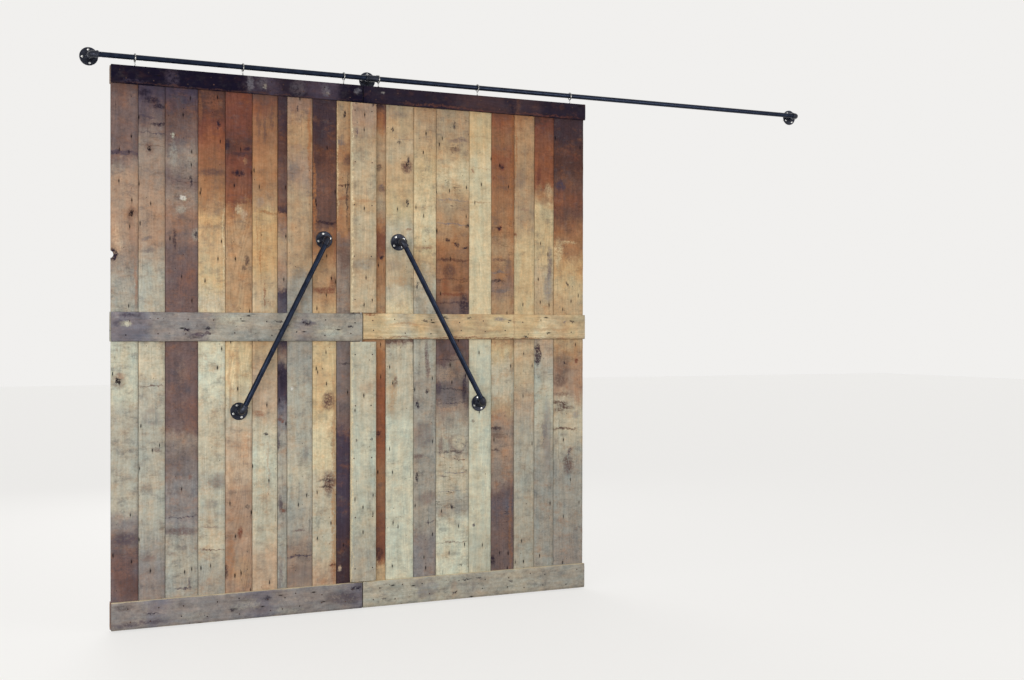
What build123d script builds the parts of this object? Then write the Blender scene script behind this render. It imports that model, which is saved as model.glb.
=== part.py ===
# A pair of sliding barn doors made of reclaimed planks, hung by eye bolts from a rail of iron pipe.
# X runs along the rail to the right, Y points to the wall and Z points up. The origin is the centre
# of the middle wall flange, on the wall's face. Sizes are in millimetres.
import os

from build123d import *

# Doors. Plank widths run from left to right and take in the open joint beside each plank.
DOOR_HEIGHT = 2743.0
LEFT_PLANKS = (131.0, 130.0, 162.0, 137.0, 138.0, 132.0, 50.0, 135.0, 130.0, 135.0)
RIGHT_PLANKS = (133.0, 159.0, 131.0, 195.0, 134.0, 140.0, 126.0, 122.0, 190.0)
PLANK_JOINT = 1.6
LEFT_PLANK_THICK = 20.0
RIGHT_PLANK_THICK = 18.5
BOARD_THICK = 20.0
WORN_EDGE = 1.5
MEETING_GAP = 6.0

# Level boards: a rail on the front and a batten on the back of each, at the same heights.
TOP_BOARD = 89.0
BOTTOM_BOARD = 136.0
LEFT_MIDDLE_BOARD = 144.0
LEFT_MIDDLE_FOOT = 1403.0
RIGHT_MIDDLE_BOARD = 136.0
RIGHT_MIDDLE_FOOT = 1412.0

# Cover strip over the meeting line, fixed to the left door
COVER_WIDTH = 140.0
COVER_LAP = 75.0
COVER_CLEARANCE = 4.0

# Knot that has broken out of the left door's outer edge
KNOT_RADIUS = 19.0
KNOT_DEPTH = 15.0
KNOT_HEIGHT = 1826.0

# Pipe rail
PIPE_OD = 26.7
PIPE_WALL = 2.9
RAIL_STANDOFF = 76.0
LEFT_SPAN = 1431.5
RIGHT_SPAN = 2783.5
TEE_TO_MEETING = 58.5

# Cast pipe fittings
BODY_WALL = 3.4
BAND_WALL = 5.4
BAND_WIDTH = 9.0
BAND_EASE = 1.4
BEND_EASE = 1.3
THREAD_DEPTH = 14.0
THREAD_CLEARANCE = 0.1

# Floor flanges and their pan-head screws
FLANGE_OD = 89.0
FLANGE_PLATE = 6.5
FLANGE_HEIGHT = 20.0
FLANGE_EASE = 2.0
HUB_WALL = 5.6
HUB_FLARE = 3.5
FLANGE_SCREWS = 4
SCREW_CIRCLE = 64.0
SCREW_SHANK = 5.0
SCREW_HOLE_PLAY = 2.5
SCREW_HEAD = 12.0
SCREW_HEAD_HEIGHT = 3.6
SCREW_DOME = 1.8
SCREW_POINT = 4.0
WALL_SCREW = 38.0
DOOR_SCREW = 22.0
WALL_TURNS = (7.0, 1.0, 33.0)

# Eye bolts
EYE_PLAY = 5.3
EYE_WIRE = 6.5
EYE_NECK = 20.6
EYE_DEPTH = 60.0
EYE_POINT = 9.0
RUN_CLEARANCE = 0.3
PILOT_CLEARANCE = 0.1
LEFT_OUTER_INSET = 116.0
LEFT_INNER_INSET = 95.0
RIGHT_OUTER_INSET = 87.0

# Handles. The inset is from the meeting line to the upper flange, and the tilt is from upright.
HANDLE_LENGTH = 986.0
HANDLE_STANDOFF = 66.0
HANDLE_TOP = 1928.0
HANDLE_INSET = 207.0
LEFT_HANDLE_TILT = 27.0
RIGHT_HANDLE_TILT = 28.6
LEFT_HANDLE_TURNS = (14.0, 22.0)
RIGHT_HANDLE_TURNS = (35.0, 23.0)

# Sizes that follow
PIPE_RADIUS = PIPE_OD / 2
BORE_RADIUS = PIPE_RADIUS - PIPE_WALL
SOCKET_RADIUS = PIPE_RADIUS + THREAD_CLEARANCE
BODY_RADIUS = PIPE_RADIUS + BODY_WALL
BAND_RADIUS = PIPE_RADIUS + BAND_WALL
HUB_RADIUS = PIPE_RADIUS + HUB_WALL
BEND_RADIUS = BODY_RADIUS + BEND_EASE
REACH = BEND_RADIUS + BEND_EASE + THREAD_DEPTH
SCREW_RADIUS = SCREW_SHANK / 2

EYE_RADIUS = (PIPE_OD + EYE_PLAY + EYE_WIRE) / 2
EYE_CENTRE = RUN_CLEARANCE - EYE_PLAY / 2
EYE_BOTTOM = EYE_CENTRE - EYE_RADIUS
DOOR_TOP = EYE_BOTTOM - EYE_WIRE / 2 - EYE_NECK
DOOR_FOOT = DOOR_TOP - DOOR_HEIGHT

RAIL_Y = -RAIL_STANDOFF
PLANK_BACK = RAIL_Y + LEFT_PLANK_THICK / 2
LEFT_FACE = PLANK_BACK - LEFT_PLANK_THICK
RIGHT_FACE = PLANK_BACK - RIGHT_PLANK_THICK

MEETING = -TEE_TO_MEETING
LEFT_INNER = MEETING - MEETING_GAP / 2
LEFT_OUTER = LEFT_INNER - sum(LEFT_PLANKS)
RIGHT_INNER = MEETING + MEETING_GAP / 2
RIGHT_OUTER = RIGHT_INNER + sum(RIGHT_PLANKS)

LEFT_HANGERS = (
    LEFT_OUTER + LEFT_OUTER_INSET,
    (LEFT_OUTER + LEFT_OUTER_INSET + LEFT_INNER - LEFT_INNER_INSET) / 2,
    LEFT_INNER - LEFT_INNER_INSET,
)
# The right door's inner ring stands against the end of the tee.
RIGHT_FIRST = REACH + EYE_WIRE / 2 + RUN_CLEARANCE
RIGHT_HANGERS = (
    RIGHT_FIRST,
    (RIGHT_FIRST + RIGHT_OUTER - RIGHT_OUTER_INSET) / 2,
    RIGHT_OUTER - RIGHT_OUTER_INSET,
)

TOWARDS_WALL = Vector(0, 0, -1)
parts = {}


def on_face(x, y, z):
    """Place something built with its local Z away from the wall, and its local Y up."""
    return Plane(origin=(x, y, z), x_dir=(1, 0, 0), z_dir=(0, -1, 0))


def spin(profile):
    """Turn a closed outline of (radius, height) points about Z."""
    points = [(radius, 0, height) for radius, height in profile]
    return revolve(make_face(Polyline(*points, close=True)), Axis.Z)


def board(length, width, thick):
    """A sawn board along Z with its four long edges worn."""
    section = Rectangle(width, thick)
    return extrude(chamfer(section.vertices(), WORN_EDGE), length)


def upright(x0, x1, y, z0, z1, thick):
    """A board on end, whose back is at y."""
    place = Plane(origin=((x0 + x1) / 2, y - thick / 2, z0), x_dir=(1, 0, 0), z_dir=(0, 0, 1))
    return place * board(z1 - z0, x1 - x0, thick)


def level(x0, x1, y, z0, z1, thick):
    """A board lying level, whose back is at y."""
    place = Plane(origin=(x0, y - thick / 2, (z0 + z1) / 2), x_dir=(0, 0, 1), z_dir=(1, 0, 0))
    return place * board(x1 - x0, z1 - z0, thick)


def rod(radius, length, start=0.0):
    """A plain round bar along Z."""
    return Pos(0, 0, start) * Cylinder(radius, length, align=(Align.CENTER, Align.CENTER, Align.MIN))


def tube(length, start=0.0):
    """A length of pipe along Z."""
    return rod(PIPE_RADIUS, length, start) - rod(BORE_RADIUS, length, start)


def bend(radius, leg_a, leg_b):
    """A round bar from the mouth of one leg to the mouth of another, bent on an arc."""
    start = Plane(origin=leg_a * REACH, z_dir=leg_a * -1)
    path = FilletPolyline(leg_a * REACH, (0, 0, 0), leg_b * REACH, radius=BEND_RADIUS)
    return sweep(start * Circle(radius), path=path)


def band():
    """The raised band round the mouth of a fitting, built along Z."""
    root = BODY_RADIUS - BODY_WALL / 2
    foot = REACH - BAND_WIDTH
    return spin(
        (
            (root, foot - BAND_EASE),
            (BODY_RADIUS, foot - BAND_EASE),
            (BAND_RADIUS, foot + BAND_EASE / 2),
            (BAND_RADIUS, REACH - BAND_EASE),
            (BAND_RADIUS - BAND_EASE, REACH),
            (root, REACH),
        )
    )


def casting(legs, outside, inside):
    """A hollow casting with a band and a socket at the mouth of each leg."""
    mouths = [Plane(origin=(0, 0, 0), z_dir=leg) for leg in legs]
    outside = outside + [mouth * band() for mouth in mouths]
    socket = rod(SOCKET_RADIUS, THREAD_DEPTH, REACH - THREAD_DEPTH)
    inside = inside + [mouth * socket for mouth in mouths]
    return outside[0].fuse(*outside[1:]).cut(*inside)


def elbow(leg_a, leg_b):
    """A cast elbow."""
    return casting((leg_a, leg_b), [bend(BODY_RADIUS, leg_a, leg_b)], [bend(BORE_RADIUS, leg_a, leg_b)])


def tee(leg, branch):
    """A cast tee, whose run lies along one leg. Its outside flows into the branch on both sides."""
    run, side = Plane(origin=(0, 0, 0), z_dir=leg), Plane(origin=(0, 0, 0), z_dir=branch)
    outside = [run * rod(BODY_RADIUS, 2 * REACH, -REACH)]
    outside += [bend(BODY_RADIUS, end, branch) for end in (leg, leg * -1)]
    inside = [run * rod(BORE_RADIUS, 2 * REACH, -REACH), side * rod(BORE_RADIUS, REACH)]
    return casting((leg, leg * -1, branch), outside, inside)


def flange(turn):
    """A round floor flange with its back at Z = 0 and its screw holes turned by an angle."""
    edge = FLANGE_OD / 2
    body = spin(
        (
            (SOCKET_RADIUS, 0),
            (edge, 0),
            (edge, FLANGE_PLATE - FLANGE_EASE),
            (edge - FLANGE_EASE, FLANGE_PLATE),
            (HUB_RADIUS + HUB_FLARE, FLANGE_PLATE),
            (HUB_RADIUS + HUB_FLARE / 4, FLANGE_PLATE + HUB_FLARE),
            (HUB_RADIUS, FLANGE_HEIGHT - BAND_EASE),
            (HUB_RADIUS - BAND_EASE, FLANGE_HEIGHT),
            (SOCKET_RADIUS, FLANGE_HEIGHT),
        )
    )
    holes = [hole * rod(SCREW_RADIUS + SCREW_HOLE_PLAY / 2, FLANGE_PLATE) for hole in screw_places(turn)]
    return body - holes


def screw_places(turn):
    """Where the screws of one flange stand."""
    return PolarLocations(SCREW_CIRCLE / 2, FLANGE_SCREWS, start_angle=turn)


def screws(turn, length):
    """The pan-head screws of one flange, with their heads on its plate."""
    top = FLANGE_PLATE + SCREW_HEAD_HEIGHT
    tip = FLANGE_PLATE - length
    screw = spin(
        (
            (0, top),
            (SCREW_HEAD / 2 - SCREW_DOME, top),
            (SCREW_HEAD / 2, top - SCREW_DOME),
            (SCREW_HEAD / 2, FLANGE_PLATE),
            (SCREW_RADIUS, FLANGE_PLATE),
            (SCREW_RADIUS, tip + SCREW_POINT),
            (0, tip),
        )
    )
    return [place * screw for place in screw_places(turn)]


def pilots(turn, length):
    """The holes that the screws of one flange make in the wood behind it."""
    depth = length - FLANGE_PLATE + PILOT_CLEARANCE
    hole = rod(SCREW_RADIUS + PILOT_CLEARANCE, depth, -depth)
    return [place * hole for place in screw_places(turn)]


def nipple(standoff):
    """The short pipe from a flange at Z = 0 to a fitting whose centre is at the standoff."""
    foot = FLANGE_HEIGHT - THREAD_DEPTH
    head = standoff - REACH + THREAD_DEPTH
    return tube(head - foot, foot)


def group(solids):
    """Several separate solids as one sub-part."""
    return Compound(children=list(solids))


def rail():
    """The pipe rail, its fittings, and what holds it to the wall."""
    left, right = Vector(-1, 0, 0), Vector(1, 0, 0)
    centres = {"left": -LEFT_SPAN, "middle": 0.0, "right": RIGHT_SPAN}
    standing = {name: on_face(x, 0, 0) for name, x in centres.items()}
    raised = Pos(0, 0, RAIL_STANDOFF)
    grip = REACH - THREAD_DEPTH

    parts["rail_elbow_left"] = standing["left"] * raised * elbow(right, TOWARDS_WALL)
    parts["rail_tee"] = standing["middle"] * raised * tee(right, TOWARDS_WALL)
    parts["rail_elbow_right"] = standing["right"] * raised * elbow(left, TOWARDS_WALL)
    for name, start, span in (("left", -LEFT_SPAN, LEFT_SPAN), ("right", 0.0, RIGHT_SPAN)):
        place = Plane(origin=(start + grip, RAIL_Y, 0), z_dir=(1, 0, 0))
        parts[f"rail_pipe_{name}"] = place * tube(span - 2 * grip)

    wall_screws = []
    for (name, place), turn in zip(standing.items(), WALL_TURNS):
        parts[f"wall_flange_{name}"] = place * flange(turn)
        wall_screws += [place * screw for screw in screws(turn, WALL_SCREW)]
    parts["wall_nipples"] = group(place * nipple(RAIL_STANDOFF) for place in standing.values())
    parts["wall_screws"] = group(wall_screws)


def handle(side, face, outward, tilt, turns):
    """A slanting pull of pipe between two flanges. Returns the holes that its screws make."""
    slope = Vector(0, -1, 0).rotate(Axis.Z, outward * tilt)
    top = on_face(MEETING + outward * HANDLE_INSET, face, DOOR_FOOT + HANDLE_TOP)
    down = slope * HANDLE_LENGTH
    places = (top, top * Pos(down.X, down.Y, 0))
    raised = Pos(0, 0, HANDLE_STANDOFF)
    legs = (slope, slope * -1)
    grip = REACH - THREAD_DEPTH

    elbows = [place * raised * elbow(leg, TOWARDS_WALL) for place, leg in zip(places, legs)]
    along = Plane(origin=slope * grip + Vector(0, 0, HANDLE_STANDOFF), z_dir=slope)
    parts[f"{side}_handle_pipe"] = top * along * tube(HANDLE_LENGTH - 2 * grip)
    parts[f"{side}_handle_elbows"] = group(elbows)
    parts[f"{side}_handle_nipples"] = group(place * nipple(HANDLE_STANDOFF) for place in places)
    parts[f"{side}_handle_flanges"] = group(place * flange(turn) for place, turn in zip(places, turns))
    fixed = [place * screw for place, turn in zip(places, turns) for screw in screws(turn, DOOR_SCREW)]
    parts[f"{side}_handle_screws"] = group(fixed)
    return [place * hole for place, turn in zip(places, turns) for hole in pilots(turn, DOOR_SCREW)]


def eye_bolts(side, hangers):
    """Rings round the rail with shanks down into the door. Returns the holes for the shanks."""
    shank_top = EYE_BOTTOM
    tip = DOOR_TOP - EYE_DEPTH
    radius = EYE_WIRE / 2
    shank = spin(((0, shank_top), (radius, shank_top), (radius, tip + EYE_POINT), (0, tip)))
    ring = Plane(origin=(0, 0, EYE_CENTRE), z_dir=(1, 0, 0)) * Torus(EYE_RADIUS, radius)
    bolt = ring.fuse(shank)
    hole = rod(radius + PILOT_CLEARANCE, EYE_DEPTH + PILOT_CLEARANCE, tip - PILOT_CLEARANCE)
    places = [Pos(x, RAIL_Y, 0) for x in hangers]
    parts[f"{side}_eye_bolts"] = group(place * bolt for place in places)
    return [place * hole for place in places]


def door(side, x0, widths, thick, middle_foot, middle_height, cuts):
    """The planks of one door, and the boards across their front and back."""
    face = PLANK_BACK - thick
    for number, width in enumerate(widths, 1):
        foot = x0 + sum(widths[: number - 1])
        edges = foot + PLANK_JOINT / 2, foot + width - PLANK_JOINT / 2
        plank = upright(*edges, PLANK_BACK, DOOR_FOOT, DOOR_TOP, thick)
        parts[f"{side}_plank_{number:02d}"] = plank - cuts

    bands = {
        "top": (DOOR_TOP - TOP_BOARD, DOOR_TOP),
        "middle": (DOOR_FOOT + middle_foot, DOOR_FOOT + middle_foot + middle_height),
        "bottom": (DOOR_FOOT, DOOR_FOOT + BOTTOM_BOARD),
    }
    x1 = x0 + sum(widths)
    for name, (z0, z1) in bands.items():
        parts[f"{side}_{name}_rail"] = level(x0, x1, face, z0, z1, BOARD_THICK)
        parts[f"{side}_{name}_batten"] = level(x0, x1, PLANK_BACK + BOARD_THICK, z0, z1, BOARD_THICK)


def cover_strip():
    """The strip over the meeting line, clear of the level boards of both doors."""
    x1 = MEETING + COVER_LAP
    middle_top = max(LEFT_MIDDLE_FOOT + LEFT_MIDDLE_BOARD, RIGHT_MIDDLE_FOOT + RIGHT_MIDDLE_BOARD)
    middle_foot = min(LEFT_MIDDLE_FOOT, RIGHT_MIDDLE_FOOT)
    stretches = {
        "upper": (middle_top, DOOR_HEIGHT - TOP_BOARD),
        "lower": (BOTTOM_BOARD, middle_foot),
    }
    for name, (foot, top) in stretches.items():
        z0 = DOOR_FOOT + foot + COVER_CLEARANCE
        z1 = DOOR_FOOT + top - COVER_CLEARANCE
        parts[f"left_cover_{name}"] = upright(x1 - COVER_WIDTH, x1, LEFT_FACE, z0, z1, BOARD_THICK)


def broken_knot():
    """The half-round gap that a lost knot leaves in the left door's outer edge."""
    place = on_face(LEFT_OUTER + KNOT_DEPTH - KNOT_RADIUS, PLANK_BACK, DOOR_FOOT + KNOT_HEIGHT)
    return place * rod(KNOT_RADIUS, LEFT_PLANK_THICK)


rail()
left_cuts = eye_bolts("left", LEFT_HANGERS)
left_cuts += handle("left", LEFT_FACE, -1, LEFT_HANDLE_TILT, LEFT_HANDLE_TURNS)
left_cuts.append(broken_knot())
door("left", LEFT_OUTER, LEFT_PLANKS, LEFT_PLANK_THICK, LEFT_MIDDLE_FOOT, LEFT_MIDDLE_BOARD, left_cuts)
cover_strip()

right_cuts = eye_bolts("right", RIGHT_HANGERS)
right_cuts += handle("right", RIGHT_FACE, 1, RIGHT_HANDLE_TILT, RIGHT_HANDLE_TURNS)
door("right", RIGHT_INNER, RIGHT_PLANKS, RIGHT_PLANK_THICK, RIGHT_MIDDLE_FOOT, RIGHT_MIDDLE_BOARD, right_cuts)

os.makedirs("parts", exist_ok=True)
for node, shape in parts.items():
    export_step(shape, f"parts/{node}.step")
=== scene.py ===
# Sliding barn doors of reclaimed planks on an iron pipe rail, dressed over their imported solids.
# Lengths are in metres in the row's frame: X runs along the rail, Y into the wall and Z up.
import math
import random

import bmesh
import bpy
from mathutils import Matrix, Vector


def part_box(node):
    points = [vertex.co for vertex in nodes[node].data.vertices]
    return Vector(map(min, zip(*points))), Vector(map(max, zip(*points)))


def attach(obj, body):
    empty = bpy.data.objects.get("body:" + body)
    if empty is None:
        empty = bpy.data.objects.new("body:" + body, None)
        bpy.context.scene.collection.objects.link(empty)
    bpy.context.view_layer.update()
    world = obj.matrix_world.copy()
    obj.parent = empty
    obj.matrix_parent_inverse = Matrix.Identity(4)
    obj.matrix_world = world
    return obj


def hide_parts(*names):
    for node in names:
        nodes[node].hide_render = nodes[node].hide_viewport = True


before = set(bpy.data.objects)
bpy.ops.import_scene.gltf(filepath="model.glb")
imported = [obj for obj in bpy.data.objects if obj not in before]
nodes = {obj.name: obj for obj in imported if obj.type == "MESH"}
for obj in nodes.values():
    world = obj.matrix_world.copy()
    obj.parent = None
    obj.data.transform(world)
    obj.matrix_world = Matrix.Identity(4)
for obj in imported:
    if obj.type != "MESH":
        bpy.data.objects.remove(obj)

scene = bpy.context.scene
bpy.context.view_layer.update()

MM = 0.001
DOORS = {"left": "left_door", "right": "right_door"}
LEFT_DOOR_WIDTH = 1280 * MM
DOOR_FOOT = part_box("left_bottom_rail")[0].z
DOOR_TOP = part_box("left_top_rail")[1].z
MEETING = (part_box("left_top_rail")[1].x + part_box("right_top_rail")[0].x) / 2
FLOOR_GAP = 8 * MM

# Sizes of the fixings, as the solids have them
RAIL_Y = (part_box("rail_pipe_left")[0].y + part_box("rail_pipe_left")[1].y) / 2
PIPE_RADIUS = (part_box("rail_pipe_left")[1].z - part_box("rail_pipe_left")[0].z) / 2
REACH = 33.35 * MM
FLANGE_PLATE, FLANGE_HEIGHT = 6.5 * MM, 20 * MM
SCREW_RING = 32 * MM
HEAD_RADIUS, HEAD_HEIGHT, HEAD_DOME = 6 * MM, 3.6 * MM, 1.8 * MM
CROSS_RECESS = (6.8 * MM, 1.5 * MM, 4.4 * MM)
WALL_SCREW, DOOR_SCREW = 38 * MM, 22 * MM
RAIL_PLACES = {"left": -1431.5 * MM, "middle": 0.0, "right": 2783.5 * MM}
RAIL_TURNS = (7, 1, 33)
HANDLE_LENGTH, HANDLE_STANDOFF = 986 * MM, 66 * MM
HANDLE_INSET, HANDLE_TOP = 207 * MM, 1928 * MM
HANDLES = {"left": (-1, 27.0, (14, 22)), "right": (1, 28.6, (35, 23))}
EYE_RADIUS, EYE_WIRE, EYE_CENTRE = 19.25 * MM, 3.25 * MM, -2.35 * MM
HANGERS = {"left": (-1.2255, -0.691, -0.1565), "right": (0.0369, 0.6122, 1.1875)}

# Sizes that only this scene has: threads, nails and the wear of the boards
PIPE_PITCH, PIPE_THREAD = 1.81 * MM, 0.38 * MM
SCREW_PITCH, SCREW_ROOT, SCREW_THREAD, SCREW_SINK = 1.9 * MM, 1.75 * MM, 0.7 * MM, 0.2 * MM
EYE_PITCH, EYE_ROOT, EYE_THREAD, EYE_TURNS, EYE_TIP = 2.1 * MM, 2.5 * MM, 0.72 * MM, 27, 8 * MM
EYE_NECK, EYE_CHAMFER, EYE_SWELL = 7 * MM, 1.2 * MM, 4 * MM
NAIL_HEAD, NAIL_PROUD = 3.6 * MM, 0.6 * MM
ALONG_STEP, ACROSS_STEP = 32 * MM, 17 * MM
ARRIS_WEAR, ARRIS_WIDTH, FACE_WEAR, CORE_DEPTH = 1.9 * MM, 2 * MM, 1.0 * MM, 5 * MM
SMOOTH_ANGLE = math.radians(38)
chance = random.Random(23)

# Noises on a board, apart from its grain: grains to the metre, shift, detail, roughness and upright stretch
WAVES = (9.0, 0.0, 5.0, 0.68, 0.75)
PATCHES = (15.0, 40.0, 7.0, 0.74, 1.5)
SPECKS = (70.0, 80.0, 4.0, 0.78, 1.15)
RINGS_PER_NOISE = 150.0
# Sorts of nail mark: width and height of a cell, size within it, shift, and share of the cells that have one
NAIL_MARKS = ((0.036, 0.09, 0.04, 0.0, 0.25), (0.05, 0.19, 0.05, 31.0, 0.4), (0.085, 0.27, 0.036, 63.0, 0.6))


def listed(text):
    """The items of a list in words and numbers."""
    items = [item.split() for item in text.split(",") if item.strip()]
    return [[word if word.isalpha() else float(word) for word in item] for item in items]


# Weathered wood, grime and metal as the eye sees them, in display values from 0 to 255
TONES = {shade: values for shade, *values in listed("""
    chalk 214 212 204, bone 196 194 172, oyster 183 180 160, linen 185 175 152, cream 206 190 155,
    buff 184 166 137, biscuit 188 155 113, oat 170 146 117, wheat 196 173 134, sand 184 157 122,
    straw 170 138 105, honey 156 116 84, amber 150 100 64, rust 132 84 62, russet 112 68 56, tobacco 142 102 75,
    chestnut 122 80 63, cocoa 104 76 66, blush 180 158 134, rose 160 134 113, clay 142 114 97,
    taupe 142 126 113, drift 168 162 146, silver 154 148 136, ash 134 127 123, slate 117 112 117,
    flint 116 104 100, bark 106 87 84, lead 98 92 98, mauve 112 93 88, umber 98 74 67, walnut 84 58 52,
    char 66 50 54, plum 70 60 72, ink 40 32 44, night 20 15 32, pitch 28 22 26
""")}


def tone(name):
    """A named tone as the linear colour that a shader takes."""
    parts = [value / 255 for value in TONES[name]]
    return (*[p / 12.92 if p <= 0.04045 else ((p + 0.055) / 1.055) ** 2.4 for p in parts], 1.0)


class Field:
    """A value that varies over a surface. Arithmetic on it adds Math nodes."""

    def __init__(self, finish, socket):
        self.finish = finish
        self.socket = socket

    def math(self, operation, *others):
        inputs = dict(enumerate((self, *others)))
        return self.finish.add("ShaderNodeMath", {"operation": operation}, inputs)

    def __add__(self, other):
        return self.math("ADD", other)

    def __sub__(self, other):
        return self.math("SUBTRACT", other)

    def __mul__(self, other):
        return self.math("MULTIPLY", other)

    def __rsub__(self, other):
        return self.finish.add("ShaderNodeMath", {"operation": "SUBTRACT"}, {0: other, 1: self})

    def __abs__(self):
        return self.math("ABSOLUTE")

    __radd__ = __add__
    __rmul__ = __mul__


class Wiring:
    """A tree of nodes, built up from fields."""

    def __init__(self, tree):
        self.tree = tree

    def add(self, kind, settings=None, inputs=None, output=0):
        """Add a node. A setting named stops fills a colour ramp."""
        node = self.tree.nodes.new(kind)
        for key, value in (settings or {}).items():
            if key == "stops":
                fill_ramp(node.color_ramp, value)
            else:
                setattr(node, key, value)
        for key, value in (inputs or {}).items():
            self.feed(node.inputs[key], value)
        return Field(self, node.outputs[output])

    def feed(self, socket, value):
        if isinstance(value, Field):
            self.tree.links.new(value.socket, socket)
        else:
            socket.default_value = value

    def here(self):
        """The place on the piece, in the row's frame."""
        return self.add("ShaderNodeTexCoord", output="Object")

    def split(self, vector):
        first = self.add("ShaderNodeSeparateXYZ", inputs={0: vector})
        return [Field(self, socket) for socket in first.socket.node.outputs]

    def join(self, x, y, z):
        return self.add("ShaderNodeCombineXYZ", inputs={0: x, 1: y, 2: z})

    def noise(self, vector, detail=2.0, roughness=0.5, output=0):
        inputs = {"Vector": vector, "Scale": 1.0, "Detail": detail, "Roughness": roughness}
        return self.add("ShaderNodeTexNoise", inputs=inputs, output=output)

    def grains(self, scale, detail, roughness):
        """Even noise, with so many grains to the metre."""
        return self.noise(self.vector("MULTIPLY", self.here(), (scale, scale, scale)), detail, roughness)

    def smooth(self, value, low, high, top=1.0):
        """Rise from 0 to top as the value goes from low to high."""
        settings = {"interpolation_type": "SMOOTHSTEP"}
        return self.add("ShaderNodeMapRange", settings, {0: value, 1: low, 2: high, 3: 0.0, 4: top})

    def vector(self, operation, a, b, output=0):
        return self.add("ShaderNodeVectorMath", {"operation": operation}, {0: a, 1: b}, output)

    def scale(self, colour, amount):
        return self.add("ShaderNodeVectorMath", {"operation": "SCALE"}, {0: colour, "Scale": amount})

    def mix(self, base, over, factor):
        settings = {"data_type": "RGBA"}
        return self.add("ShaderNodeMix", settings, {0: factor, 6: base, 7: over}, 2)

    def bump(self, height, distance, strength):
        return self.add("ShaderNodeBump", inputs={"Height": height, "Distance": distance, "Strength": strength})

    def seen(self):
        """1 for what the camera sees, straight, in a reflection or through glass."""
        kinds = ("Camera", "Glossy", "Transmission")
        rays = [self.add("ShaderNodeLightPath", output=f"Is {kind} Ray") for kind in kinds]
        return rays[0].math("MAXIMUM", rays[1]).math("MAXIMUM", rays[2])


class Finish(Wiring):
    """One material and its shader."""

    def __init__(self, name):
        self.material = bpy.data.materials.new(name)
        self.material.use_nodes = True
        super().__init__(self.material.node_tree)
        self.shader = self.tree.nodes["Principled BSDF"]

    def wear(self, **sockets):
        """Feed the shader, each socket by its name with spaces as underscores."""
        for name, value in sockets.items():
            self.feed(self.shader.inputs[name.replace("_", " ")], value)
        return self.material


def fill_ramp(ramp, stops):
    stops = sorted(stops, key=lambda stop: stop[0])
    while len(ramp.elements) < len(stops):
        ramp.elements.new(0.5)
    for element, (position, _) in zip(ramp.elements, stops):
        element.position = position
    for element, (_, colour) in zip(ramp.elements, stops):
        element.color = colour


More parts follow.
